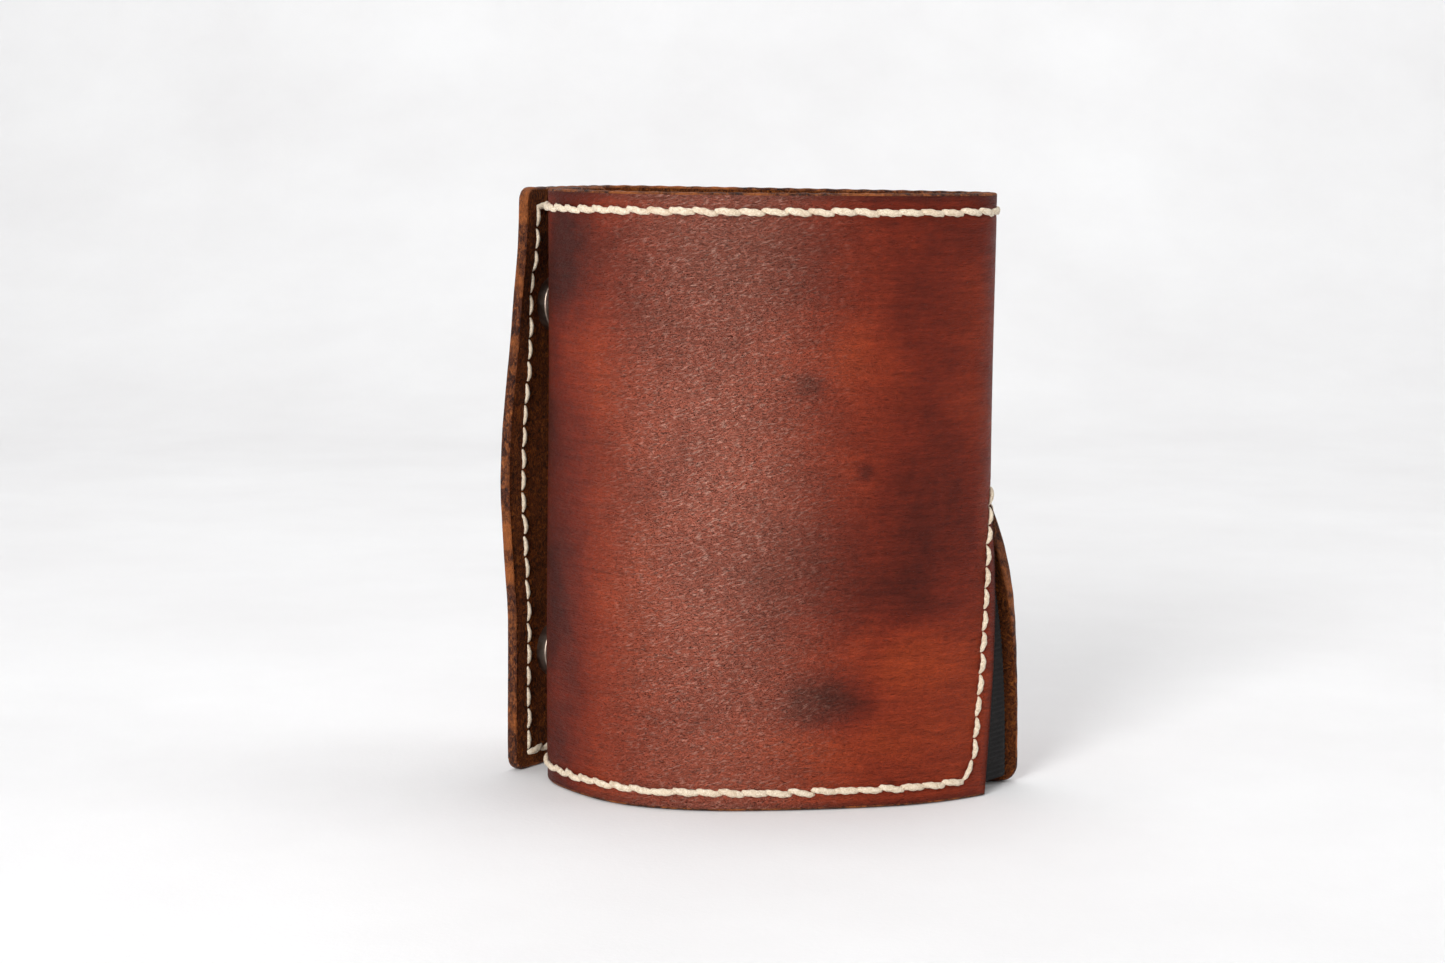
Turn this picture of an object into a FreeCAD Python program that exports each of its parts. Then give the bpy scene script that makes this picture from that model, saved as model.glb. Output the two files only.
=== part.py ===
import FreeCAD, Part
import math
import os

# A leather card holder: one thick leather strip wrapped into an upright sleeve.
# The strip runs from a hidden tab, round the front, through the fold on the right, along the
# back and through the fold at the back left, and ends in a flap that snaps over the tab.
# A V-shaped notch in the lower half of the right fold is bridged by an elastic gusset.
#
# Millimetres. X runs to the right along the front, Y runs away from the front, Z is up.
# The origin is under the middle of the bounding box, on the surface the holder stands on.
#
# Places on the leather are given as a distance along the strip from the tab's end, a depth
# under the grain surface (negative is outside the sleeve), and a height.

# Driving dimensions
HEIGHT = 106.7
LEATHER = 2.0
PLAN_START = (-30.46, 15.8)         # tab's end on the grain surface
PLAN_HEADING = 241.2                # direction of the strip there, degrees from +X

TAB = 15.9
TAB_BEND = (3.0, 28.8)              # stretches of the strip: length, turn in degrees
FRONT = [(9.0, 32.0), (10.0, 10.0), (14.0, 32.0), (15.0, 20.0), (26.0, 10.0), (12.0, 16.0), (3.5, 4.0)]
RIGHT_FOLD = (20.5, 121.0)
BACK = (62.54, 2.83)
LEFT_FOLD = (12.0, 78.17)
FLAP = 24.0
CORNER_RADIUS = 2.0

SPLIT_GAP = 0.4                     # clearance between two bodies at a fold
NOTCH_HEIGHT = 52.0
NOTCH_FROM_FOLD = 8.6               # the notch's apex, along the strip from the fold's start
NOTCH_FRONT_SPREAD = 3.6            # along the strip, from under the apex to the front corner
FLARE_LENGTH = 12.2                 # the back's lower corner, from the fold's end
FLARE_TURN = 35.0
CUT_HALF_DEPTH = 8.0                # of the slab that cuts the notch out of the front
CUT_WIDTH = 12.0

SNAP_HEIGHTS = {"lower": 21.3, "upper": 85.4}
SNAP_FROM_FLAP_EDGE = 11.6
SNAP_FROM_TAB_END = 8.0
SHANK_RADIUS = 2.0
SHANK_CLEARANCE = 0.05
CAP_RADIUS = 6.0
SOCKET_RADIUS = 5.15
SOCKET_HEIGHT = 2.6
SOCKET_CAVITY_RADIUS = 3.1
STUD_HEAD_RADIUS = 2.6
STUD_HEIGHT = 2.2
POST_RADIUS = 4.6

STITCH_INSET = 3.2                  # from the top and bottom edges to the thread
EDGE_INSET = 4.0                    # from the flap's, tab's and notch's edges to the thread
THREAD_WIDTH = 0.9
THREAD_PROUD = 0.5
THREAD_GAP = 0.02
THREAD_CLEAR = 1.2                  # from the ends of the thread to the folds' split lines

POCKET_LEATHER = 1.2
POCKET_HEIGHT = 73.0
POCKET_LIFT = 1.0
POCKET_WIDTH = 60.0
POCKET_FROM_FOLD = 3.0
POCKET_SEAM = 3.0                   # from the pocket's side edges to its side seams
POCKET_GAP = 0.1

ELASTIC = 1.0
ELASTIC_GAP = 0.7
ELASTIC_LOW = 1.5
ELASTIC_HIGH = 57.0
ELASTIC_BEHIND = 3.0                # how far the elastic reaches behind the leather
ELASTIC_BULGE = 0.02                # of the width of the notch's mouth
ELASTIC_TO = 0.8                    # how far along the back's lower corner it reaches

# Places along the strip
STRIP = [(TAB, 0.0), TAB_BEND] + FRONT + [RIGHT_FOLD, BACK, LEFT_FOLD, (FLAP, 0.0)]
FRONT_END = TAB + TAB_BEND[0] + sum(length for length, turn in FRONT)
NOTCH_AT = FRONT_END + NOTCH_FROM_FOLD
FOLD_END = FRONT_END + RIGHT_FOLD[0]
BACK_END = FOLD_END + BACK[0]
FLAP_AT = BACK_END + LEFT_FOLD[0] / 2
STRIP_END = sum(length for length, turn in STRIP)
NOTCH_FRONT_AT = NOTCH_AT - NOTCH_FRONT_SPREAD
POCKET_FROM = FOLD_END + POCKET_FROM_FOLD
POCKET_TO = POCKET_FROM + POCKET_WIDTH


def advance(x, y, heading, length, turn):
    """The place and heading after a straight or circular stretch."""
    if turn == 0:
        angle = math.radians(heading)
        return x + length * math.cos(angle), y + length * math.sin(angle), heading
    radius = length / math.radians(turn)
    before = math.radians(heading)
    after = math.radians(heading + turn)
    x += radius * (math.sin(after) - math.sin(before))
    y += radius * (math.cos(before) - math.cos(after))
    return x, y, heading + turn


def place_on(distance):
    """The plan place and heading of the grain surface at a distance along the strip."""
    x, y = PLAN_START
    heading = PLAN_HEADING
    for length, turn in STRIP:
        share = min(distance, length) / length
        x, y, heading = advance(x, y, heading, length * share, turn * share)
        distance -= length
        if distance <= 0:
            break
    return x, y, heading


def under(place, depth):
    """A plan point at a depth under the grain surface."""
    x, y, heading = place
    angle = math.radians(heading)
    return FreeCAD.Vector(x - depth * math.sin(angle), y + depth * math.cos(angle), 0)


def run(start, stop, depth):
    """Edges along the strip at one depth, from one distance to another."""
    edges = []
    passed = 0.0
    for length, turn in STRIP:
        low = max(start, passed)
        high = min(stop, passed + length)
        if high - low > 1e-6:
            first, middle, last = (under(place_on(d), depth) for d in (low, (low + high) / 2, high))
            if turn == 0:
                edges.append(Part.LineSegment(first, last).toShape())
            else:
                edges.append(Part.Arc(first, middle, last).toShape())
        passed += length
    return edges


def band(start, stop, depth_out, depth_in, low, high):
    """An upright band of the strip between two depths and two heights."""
    outer = run(start, stop, depth_out)
    inner = run(start, stop, depth_in)
    ends = [Part.LineSegment(under(place_on(d), depth_out), under(place_on(d), depth_in)).toShape()
            for d in (start, stop)]
    wire = Part.Wire(Part.__sortEdges__(outer + inner + ends))
    solid = Part.Face(wire).extrude(FreeCAD.Vector(0, 0, high - low))
    solid.translate(FreeCAD.Vector(0, 0, low))
    return solid


def round_corners(solid, distance, radius, heights):
    """Round the sheet's corners at one distance along the strip."""
    place = under(place_on(distance), LEATHER / 2)
    corners = []
    for edge in solid.Edges:
        centre = edge.CenterOfMass
        near = math.hypot(centre.x - place.x, centre.y - place.y) < 0.1
        if near and any(abs(centre.z - height) < 0.1 for height in heights):
            corners.append(edge)
    return solid.makeFillet(radius, corners)


def on_surface(shape, distance, height):
    """Stand a shape modelled along +Z on the grain surface, pointing outwards."""
    place = place_on(distance)
    origin = under(place, 0)
    outwards = under(place, -1).sub(origin)
    origin.z = height
    placed = shape.copy()
    placed.Placement = FreeCAD.Placement(origin, FreeCAD.Rotation(FreeCAD.Vector(0, 0, 1), outwards))
    return placed


def turned(profile):
    """A solid of revolution about Z from a closed profile of radius and height points."""
    points = [FreeCAD.Vector(radius, 0, height) for radius, height in profile]
    face = Part.Face(Part.makePolygon(points + points[:1]))
    return face.revolve(FreeCAD.Vector(0, 0, 0), FreeCAD.Vector(0, 0, 1), 360)


# Snap fasteners, modelled along +Z with the grain surface at height 0

def snap_cap():
    """The dome on the grain side, with the shank rolled over inside the socket."""
    shank_end = -LEATHER - 0.7
    return turned([(0, 1.4), (2.5, 1.3), (4.5, 0.95), (5.6, 0.5), (CAP_RADIUS, 0), (SHANK_RADIUS, 0),
                   (SHANK_RADIUS, -LEATHER - 0.4), (2.6, -LEATHER - 0.4), (2.6, shank_end), (0, shank_end)])


def snap_socket():
    """The ring on the flesh side that the stud clicks into."""
    back = -LEATHER
    face = -LEATHER - SOCKET_HEIGHT
    hole = SHANK_RADIUS + SHANK_CLEARANCE
    return turned([(hole, back), (SOCKET_RADIUS, back), (SOCKET_RADIUS, face + 0.6), (4.6, face),
                   (SOCKET_CAVITY_RADIUS + 0.3, face), (SOCKET_CAVITY_RADIUS, face + 0.3),
                   (SOCKET_CAVITY_RADIUS, back - 0.4), (hole, back - 0.4)])


def snap_stud():
    """The flange and rounded head on the tab's grain side."""
    bore = SHANK_RADIUS + SHANK_CLEARANCE - 0.85
    return turned([(bore, 0), (4.7, 0), (4.7, 0.35), (4.3, 0.6), (2.25, 0.6), (2.25, 1.0), (STUD_HEAD_RADIUS, 1.35),
                   (STUD_HEAD_RADIUS, 1.6), (2.1, 2.05), (bore + 0.2, STUD_HEIGHT), (bore, STUD_HEIGHT)])


def snap_post():
    """The flanged post through the tab, with its end inside the stud."""
    pin = SHANK_RADIUS + SHANK_CLEARANCE - 0.9
    return turned([(0, STUD_HEIGHT - 0.3), (pin, STUD_HEIGHT - 0.3), (pin, 0), (SHANK_RADIUS, 0),
                   (SHANK_RADIUS, -LEATHER), (POST_RADIUS, -LEATHER), (4.2, -LEATHER - 0.6), (0, -LEATHER - 0.7)])


def punch(solid, distance):
    """Punch the two snap holes through the leather."""
    hole = Part.makeCylinder(SHANK_RADIUS + SHANK_CLEARANCE, 3 * LEATHER, FreeCAD.Vector(0, 0, -2 * LEATHER))
    for height in SNAP_HEIGHTS.values():
        solid = solid.cut(on_surface(hole, distance, height))
    return solid


# Leather panels

def notch_slab(shift, width):
    """A slanted slab through the front, its edge along the notch's front edge moved by a shift."""
    x, y, heading = place_on((NOTCH_FRONT_AT + NOTCH_AT) / 2)
    angle = math.radians(heading)
    along = FreeCAD.Vector(math.cos(angle), math.sin(angle), 0)
    outwards = FreeCAD.Vector(math.sin(angle), -math.cos(angle), 0)
    middle = FreeCAD.Vector(x, y, 0)
    low = under(place_on(NOTCH_FRONT_AT), 0).sub(middle).dot(along) + shift
    high = under(place_on(NOTCH_AT), 0).sub(middle).dot(along) + shift
    slope = (high - low) / NOTCH_HEIGHT
    corners = []
    for across, height in ((low - slope, -1.0), (high, NOTCH_HEIGHT), (high + width, NOTCH_HEIGHT),
                           (low - slope + width, -1.0)):
        corner = middle + along * across - outwards * CUT_HALF_DEPTH
        corner.z = height
        corners.append(corner)
    face = Part.Face(Part.makePolygon(corners + corners[:1]))
    return face.extrude(outwards * 2 * CUT_HALF_DEPTH)


def front_panel():
    panel = band(0, NOTCH_AT - SPLIT_GAP / 2, 0, LEATHER, 0, HEIGHT)
    panel = round_corners(panel, 0, CORNER_RADIUS, (0, HEIGHT))
    return punch(panel, SNAP_FROM_TAB_END).cut(notch_slab(0, CUT_WIDTH))


def flare_profile(height, turn, length):
    """The outline of the back's lower corner at one height, from the fold's end towards the notch."""
    x, y, heading = place_on(FOLD_END)
    places = [(x, y, heading)]
    for share in (0.5, 1.0):
        x2, y2, back_heading = advance(x, y, heading + 180, length * share, turn * share)
        places.append((x2, y2, back_heading - 180))
    outer = [under(place, 0) for place in places]
    inner = [under(place, LEATHER) for place in places]
    edges = [Part.Arc(*outer).toShape(), Part.LineSegment(outer[2], inner[2]).toShape(),
             Part.Arc(*inner[::-1]).toShape(), Part.LineSegment(inner[0], outer[0]).toShape()]
    wire = Part.Wire(edges)
    wire.translate(FreeCAD.Vector(0, 0, height))
    return wire


def back_panel():
    fold_start = NOTCH_AT + SPLIT_GAP / 2
    fold_length = FOLD_END - fold_start
    fold_turn = -RIGHT_FOLD[1] * fold_length / RIGHT_FOLD[0]
    flare = Part.makeLoft([flare_profile(0, FLARE_TURN, FLARE_LENGTH),
                           flare_profile(NOTCH_HEIGHT, fold_turn, fold_length)], True, True)
    fold = band(fold_start, FOLD_END, 0, LEATHER, NOTCH_HEIGHT, HEIGHT)
    flat = band(FOLD_END, FLAP_AT - SPLIT_GAP / 2, 0, LEATHER, 0, HEIGHT)
    return flat.fuse([fold, flare])


def flap_panel():
    panel = band(FLAP_AT + SPLIT_GAP / 2, STRIP_END, 0, LEATHER, 0, HEIGHT)
    panel = round_corners(panel, STRIP_END, CORNER_RADIUS, (0, HEIGHT))
    return punch(panel, STRIP_END - SNAP_FROM_FLAP_EDGE)


def card_pocket():
    depth = LEATHER + POCKET_GAP
    return band(POCKET_FROM, POCKET_TO, depth, depth + POCKET_LEATHER, POCKET_LIFT, POCKET_HEIGHT)


def elastic_gusset():
    """The elastic behind the notch: bowed over the open mouth, following the fold at the top."""
    depth = LEATHER + ELASTIC_GAP
    front_low = under(place_on(NOTCH_FRONT_AT - ELASTIC_BEHIND), depth)
    front_high = under(place_on(NOTCH_AT - ELASTIC_BEHIND), depth)
    apex = under(place_on(NOTCH_AT), depth)
    back_high = under(place_on(NOTCH_AT + ELASTIC_BEHIND), depth)
    x, y, heading = place_on(FOLD_END)
    x, y, heading = advance(x, y, heading + 180, FLARE_LENGTH * ELASTIC_TO, FLARE_TURN * ELASTIC_TO)
    back_low = under((x, y, heading - 180), depth)
    chord = back_low - front_low
    bulge = FreeCAD.Vector(chord.y, -chord.x, 0).normalize() * (ELASTIC_BULGE * chord.Length)
    mouth = (front_low + back_low) * 0.5 + bulge
    wires = []
    for height, outer in ((ELASTIC_LOW, (front_low, mouth, back_low)),
                          (ELASTIC_HIGH, (front_high, apex, back_high))):
        arc = Part.Arc(*outer)
        centre = arc.toShape().Curve.Center
        inner = [p + (centre - p).normalize() * ELASTIC for p in outer]
        wire = Part.Wire([arc.toShape(), Part.LineSegment(outer[2], inner[2]).toShape(),
                          Part.Arc(*inner[::-1]).toShape(), Part.LineSegment(inner[0], outer[0]).toShape()])
        wire.translate(FreeCAD.Vector(0, 0, height))
        wires.append(wire)
    return Part.makeLoft(wires, True, True).cut(back_panel())


# Thread runs: one on the grain side and one on the flesh side of each seam

def thread(start, stop, low, high, flesh_depth=LEATHER):
    """The grain-side and flesh-side runs of one straight seam."""
    grain = band(start, stop, -THREAD_PROUD, -THREAD_GAP, low, high)
    flesh = band(start, stop, flesh_depth + THREAD_GAP, flesh_depth + THREAD_PROUD, low, high)
    return [grain, flesh]


def level_seam(start, stop, height, flesh_depth=LEATHER):
    return thread(start, stop, height - THREAD_WIDTH / 2, height + THREAD_WIDTH / 2, flesh_depth)


def upright_seam(distance, flesh_depth=LEATHER, low=STITCH_INSET + 1, high=HEIGHT - STITCH_INSET - 1):
    return thread(distance - THREAD_WIDTH / 2, distance + THREAD_WIDTH / 2, low, high, flesh_depth)


def notch_front_seam():
    """The slanted run along the notch's front edge, on the grain side."""
    grain = band(NOTCH_FRONT_AT - 8, NOTCH_AT - THREAD_CLEAR, -THREAD_PROUD, -THREAD_GAP, STITCH_INSET + 1, NOTCH_HEIGHT)
    return [grain.common(notch_slab(-EDGE_INSET, THREAD_WIDTH))]


def notch_back_seam():
    """The run down the back's lower corner, on the grain side of the part that doesn't flare."""
    distance = FOLD_END + 1.0
    low = STITCH_INSET + 1
    return [band(distance - THREAD_WIDTH / 2, distance + THREAD_WIDTH / 2, -THREAD_PROUD, -THREAD_GAP,
                 low, NOTCH_HEIGHT)]


def back_bottom_seam():
    """Through the back alone at both ends, and through the pocket too in the middle."""
    pocket_depth = LEATHER + POCKET_GAP + POCKET_LEATHER
    return (level_seam(FOLD_END + 2.0, POCKET_FROM - 0.2, STITCH_INSET)
            + level_seam(POCKET_FROM, POCKET_TO, STITCH_INSET, pocket_depth)
            + level_seam(POCKET_TO + 0.2, FLAP_AT - THREAD_CLEAR, STITCH_INSET))


def pocket_side_seams():
    depth = LEATHER + POCKET_GAP + POCKET_LEATHER
    seams = []
    for distance in (POCKET_FROM + POCKET_SEAM, POCKET_TO - POCKET_SEAM):
        seams += upright_seam(distance, depth, STITCH_INSET + 1, POCKET_HEIGHT - 2)
    return seams


def build():
    top = HEIGHT - STITCH_INSET
    flap_seam_end = STRIP_END - EDGE_INSET - THREAD_WIDTH
    behind_elastic = NOTCH_FRONT_AT - ELASTIC_BEHIND - 1.0
    nodes = {
        "front_panel": front_panel(),
        "back_panel": back_panel(),
        "flap_panel": flap_panel(),
        "card_pocket": card_pocket(),
        "elastic_gusset": elastic_gusset(),
        "front_top_stitching": Part.makeCompound(level_seam(EDGE_INSET, NOTCH_AT - THREAD_CLEAR, top)),
        "front_bottom_stitching": Part.makeCompound(level_seam(EDGE_INSET, behind_elastic, STITCH_INSET)),
        "notch_front_stitching": Part.makeCompound(notch_front_seam()),
        "tab_edge_stitching": Part.makeCompound(upright_seam(EDGE_INSET - 1.5)),
        "back_top_stitching": Part.makeCompound(level_seam(NOTCH_AT + THREAD_CLEAR, FLAP_AT - THREAD_CLEAR, top)),
        "back_bottom_stitching": Part.makeCompound(back_bottom_seam()),
        "notch_back_stitching": Part.makeCompound(notch_back_seam()),
        "pocket_side_stitching": Part.makeCompound(pocket_side_seams()),
        "flap_top_stitching": Part.makeCompound(level_seam(FLAP_AT + THREAD_CLEAR, flap_seam_end, top)),
        "flap_bottom_stitching": Part.makeCompound(level_seam(FLAP_AT + THREAD_CLEAR, flap_seam_end, STITCH_INSET)),
        "flap_edge_stitching": Part.makeCompound(upright_seam(STRIP_END - EDGE_INSET)),
    }
    for level, height in SNAP_HEIGHTS.items():
        nodes[level + "_snap_cap"] = on_surface(snap_cap(), STRIP_END - SNAP_FROM_FLAP_EDGE, height)
        nodes[level + "_snap_socket"] = on_surface(snap_socket(), STRIP_END - SNAP_FROM_FLAP_EDGE, height)
        nodes[level + "_snap_stud"] = on_surface(snap_stud(), SNAP_FROM_TAB_END, height)
        nodes[level + "_snap_post"] = on_surface(snap_post(), SNAP_FROM_TAB_END, height)
    return nodes


os.makedirs("parts", exist_ok=True)
for node, shape in build().items():
    shape.exportStep("parts/" + node + ".step")
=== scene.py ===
import math

import bpy
import numpy as np
from mathutils import Euler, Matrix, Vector


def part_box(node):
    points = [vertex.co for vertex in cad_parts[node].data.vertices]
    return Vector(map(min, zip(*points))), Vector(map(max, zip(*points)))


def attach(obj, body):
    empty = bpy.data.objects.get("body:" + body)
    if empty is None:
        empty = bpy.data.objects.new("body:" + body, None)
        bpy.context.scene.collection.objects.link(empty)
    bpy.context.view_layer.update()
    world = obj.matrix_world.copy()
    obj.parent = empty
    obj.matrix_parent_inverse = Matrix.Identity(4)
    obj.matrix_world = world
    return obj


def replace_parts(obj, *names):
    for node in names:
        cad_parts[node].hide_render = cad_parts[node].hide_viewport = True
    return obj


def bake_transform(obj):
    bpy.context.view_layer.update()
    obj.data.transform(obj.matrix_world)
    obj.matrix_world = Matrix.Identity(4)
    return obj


# A leather card holder standing on a pale floor: one thick leather strip wrapped into a sleeve,
# saddle stitched in waxed thread, with a snap flap and an elastic gusset in a notched fold.
#
# Places on the leather are given on the flat strip, in millimetres: s runs along it from the
# hidden tab's end to the flap's edge, z is the height, and depth is under the grain surface.

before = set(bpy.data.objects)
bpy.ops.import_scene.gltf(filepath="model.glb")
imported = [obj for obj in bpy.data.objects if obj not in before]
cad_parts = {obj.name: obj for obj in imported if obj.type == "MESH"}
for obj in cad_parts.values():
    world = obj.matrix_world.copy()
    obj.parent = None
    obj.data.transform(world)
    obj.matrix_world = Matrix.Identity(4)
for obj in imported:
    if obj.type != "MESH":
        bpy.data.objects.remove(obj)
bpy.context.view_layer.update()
MM = 0.001
random = np.random.default_rng(7)

# ---------------------------------------------------------------- the strip, as in the CAD model

HEIGHT = 106.7
LEATHER = 2.0
PLAN_START = (-30.46, 15.8)
PLAN_HEADING = 241.2
TAB = 15.9
TAB_BEND = (3.0, 28.8)
FRONT = [(9.0, 32.0), (10.0, 10.0), (14.0, 32.0), (15.0, 20.0), (26.0, 10.0), (12.0, 16.0), (3.5, 4.0)]
RIGHT_FOLD = (20.5, 121.0)
BACK = (62.54, 2.83)
LEFT_FOLD = (12.0, 78.17)
FLAP = 24.0
STRIP = [(TAB, 0.0), TAB_BEND] + FRONT + [RIGHT_FOLD, BACK, LEFT_FOLD, (FLAP, 0.0)]

NOTCH_HEIGHT = 52.0
NOTCH_FRONT_SPREAD = 3.6
SPRING_CURVE = 2.3                  # how soon the leather springs back, going down from the notch's top
FLARE_LENGTH = 12.2
FLARE_TURN = 35.0
MARGIN_SPRING = 0.9                 # the share of the fold's curve that the front's margin loses at most
CORNER_RADIUS = 2.4
FLARE_CORNER_RADIUS = 3.0
FRONT_END = TAB + TAB_BEND[0] + sum(length for length, turn in FRONT)
NOTCH_AT = FRONT_END + 8.6
FOLD_END = FRONT_END + RIGHT_FOLD[0]
BACK_END = FOLD_END + BACK[0]
FLAP_AT = BACK_END + LEFT_FOLD[0] / 2
STRIP_END = sum(length for length, turn in STRIP)
SEAM_AT = FOLD_END + 36.0           # where the two leather meshes meet, on the back

SNAP_HEIGHTS = {"lower": 21.3, "upper": 85.4}
FLAP_SNAP_AT = STRIP_END - 11.6
TAB_SNAP_AT = 8.0
SNAP_FLAT = 9.0                     # the flap's bow fades within about this distance of a snap
WAVE_HEIGHT = 0.16
POCKET_FROM = FOLD_END + 3.0
POCKET_TO = POCKET_FROM + 60.0
POCKET_HEIGHT = 73.0
POCKET_LEATHER = 1.2
POCKET_LIFT = LEATHER + 0.1         # the pocket's own outer face, under the back's grain
POCKET_DIP = 7.0                    # the thumb cut in its mouth
POCKET_DIP_WIDTH = 11.0
POCKET_DIP_FROM = 40.0

ELASTIC_THICKNESS = 1.0
ELASTIC_GAP = 0.25                  # between the leather and the elastic
ELASTIC_LOW = 1.5
ELASTIC_HIGH = 58.5
ELASTIC_BEHIND = 7.0                # how far it reaches behind the leather on each side
ELASTIC_BOW = 0.01                  # how far it bows out, as a share of the mouth's width
RIB_PITCH = 0.9
RIB_HEIGHT = 0.17
RIB_SINK = 0.10                     # how far the valleys lie under the plain thickness
WEAVE_SPAN = 25.0                   # what the weave takes as the elastic's width

STITCH = 4.0
STITCH_INSET = 3.2
EDGE_INSET = 4.0
TAB_INSET = 2.5
THREAD_RADIUS = 0.54


def smooth(low, high, value):
    """0 below low, 1 above high, and a smooth ramp between."""
    t = np.clip((value - low) / (high - low), 0.0, 1.0)
    return t * t * (3 - 2 * t)


def advance(x, y, heading, length, turn):
    """Place and heading after stretches of constant curvature. Angles are in radians."""
    half = turn / 2
    chord = length * np.sinc(half / math.pi)
    return x + chord * np.cos(heading + half), y + chord * np.sin(heading + half), heading + turn


def strip_place(s):
    """Plan place and heading of the grain surface at distances along the strip."""
    x, y, heading = PLAN_START[0], PLAN_START[1], math.radians(PLAN_HEADING)
    x, y, heading = (np.full(np.shape(s), value) for value in (x, y, heading))
    left = np.asarray(s, float).copy()
    for index, (length, turn) in enumerate(STRIP):
        last = index == len(STRIP) - 1
        part = left if last else np.minimum(left, length)
        if index > 0:
            part = np.maximum(part, 0.0)
        x, y, heading = advance(x, y, heading, part, math.radians(turn) * part / length)
        left = left - part
    return x, y, heading


def open_share(z):
    """How far the notch lets the leather spring back: 0 at its top and above, 1 at the bottom."""
    return 1 - (1 - np.clip((NOTCH_HEIGHT - z) / NOTCH_HEIGHT, 0.0, 1.0)) ** SPRING_CURVE


def margin_place(s, z):
    """As strip_place, for the front's margin along the notch, which springs back nearly straight."""
    x, y, heading = (float(value) for value in strip_place(np.array(FRONT_END)))
    past = s - FRONT_END
    folded = math.radians(RIGHT_FOLD[1]) / RIGHT_FOLD[0]
    return advance(x, y, heading, past, folded * (1 - MARGIN_SPRING * open_share(z)) * past)


def flare_place(s, z):
    """As strip_place, for the back's lower corner, which springs out of the fold."""
    x, y, heading = (float(value) for value in strip_place(np.array(FOLD_END)))
    folded = -math.radians(RIGHT_FOLD[1]) / RIGHT_FOLD[0]
    flared = math.radians(FLARE_TURN) / FLARE_LENGTH
    back = FOLD_END - s
    turn = (folded + (flared - folded) * open_share(z)) * back
    x, y, heading = advance(x, y, heading + math.pi, back, turn)
    return x, y, heading - math.pi


def flap_bow(s, z):
    """How far the flap stands out of its flat plane: bowed between the snaps, curled in at the top."""
    heights = [0.0, 12.0, 21.3, 30.0, 38.0, 52.0, 62.0, 72.0, 85.4, 96.0, 106.7]
    bows = [-0.3, -0.3, -0.4, -0.3, 0.5, 1.5, 1.1, 0.0, -1.7, -2.6, -3.0]
    fine = np.linspace(0, HEIGHT, 211)
    kernel = np.hanning(21)
    level = np.interp(fine, heights, bows)
    level = np.convolve(np.pad(level, 10, "edge"), kernel / kernel.sum(), "valid")
    reach = np.clip((s - FLAP_AT) / (STRIP_END - FLAP_AT), 0.0, 1.1) ** 1.6
    pinned = np.ones(np.shape(s))
    for height in SNAP_HEIGHTS.values():
        apart = ((s - FLAP_SNAP_AT) ** 2 + (z - height) ** 2) / SNAP_FLAT ** 2
        pinned = pinned * (1 - np.exp(-apart ** 1.5))
    return np.interp(z, fine, level) * reach * pinned


def waviness(s, z):
    """Slow, hand-made unevenness of the leather, a fraction of a millimetre."""
    wave = np.sin(s / 17.0 + 0.6 * np.sin(z / 23.0)) * np.sin(z / 29.0 + 1.3)
    wave = wave + 0.5 * np.sin(s / 9.0 + 2.1) * np.cos(z / 13.0 + s / 31.0)
    fade = smooth(0, 6, z) * smooth(0, 6, HEIGHT - z)
    return WAVE_HEIGHT * wave * (0.35 + 0.65 * fade)


def surface(s, z, depth, side=None):
    """Points in space, in metres. side is "front" or "back" where the notch divides the fold."""
    s, z, depth = np.broadcast_arrays(np.asarray(s, float), np.asarray(z, float), np.asarray(depth, float))
    x, y, heading = strip_place(s)
    if side == "back":
        flared = (s < FOLD_END) & (z < NOTCH_HEIGHT)
        fx, fy, fheading = flare_place(s, z)
        x, y, heading = (np.where(flared, b, a) for a, b in ((x, fx), (y, fy), (heading, fheading)))
    if side == "front":
        margin = (s > FRONT_END) & (z < NOTCH_HEIGHT)
        mx, my, mheading = margin_place(s, z)
        x, y, heading = (np.where(margin, b, a) for a, b in ((x, mx), (y, my), (heading, mheading)))
    depth = depth - flap_bow(s, z) - waviness(s, z)
    points = np.stack([x - depth * np.sin(heading), y + depth * np.cos(heading), z], axis=-1)
    return points * MM


# ---------------------------------------------------------------- seams on the flat strip

def notch_front_edge(z):
    return NOTCH_AT - NOTCH_FRONT_SPREAD * np.clip(NOTCH_HEIGHT - z, 0.0, None) / NOTCH_HEIGHT


def notch_back_edge(z):
    spread = FOLD_END - FLARE_LENGTH - NOTCH_AT
    return NOTCH_AT + spread * np.clip(NOTCH_HEIGHT - z, 0.0, None) / NOTCH_HEIGHT


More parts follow.
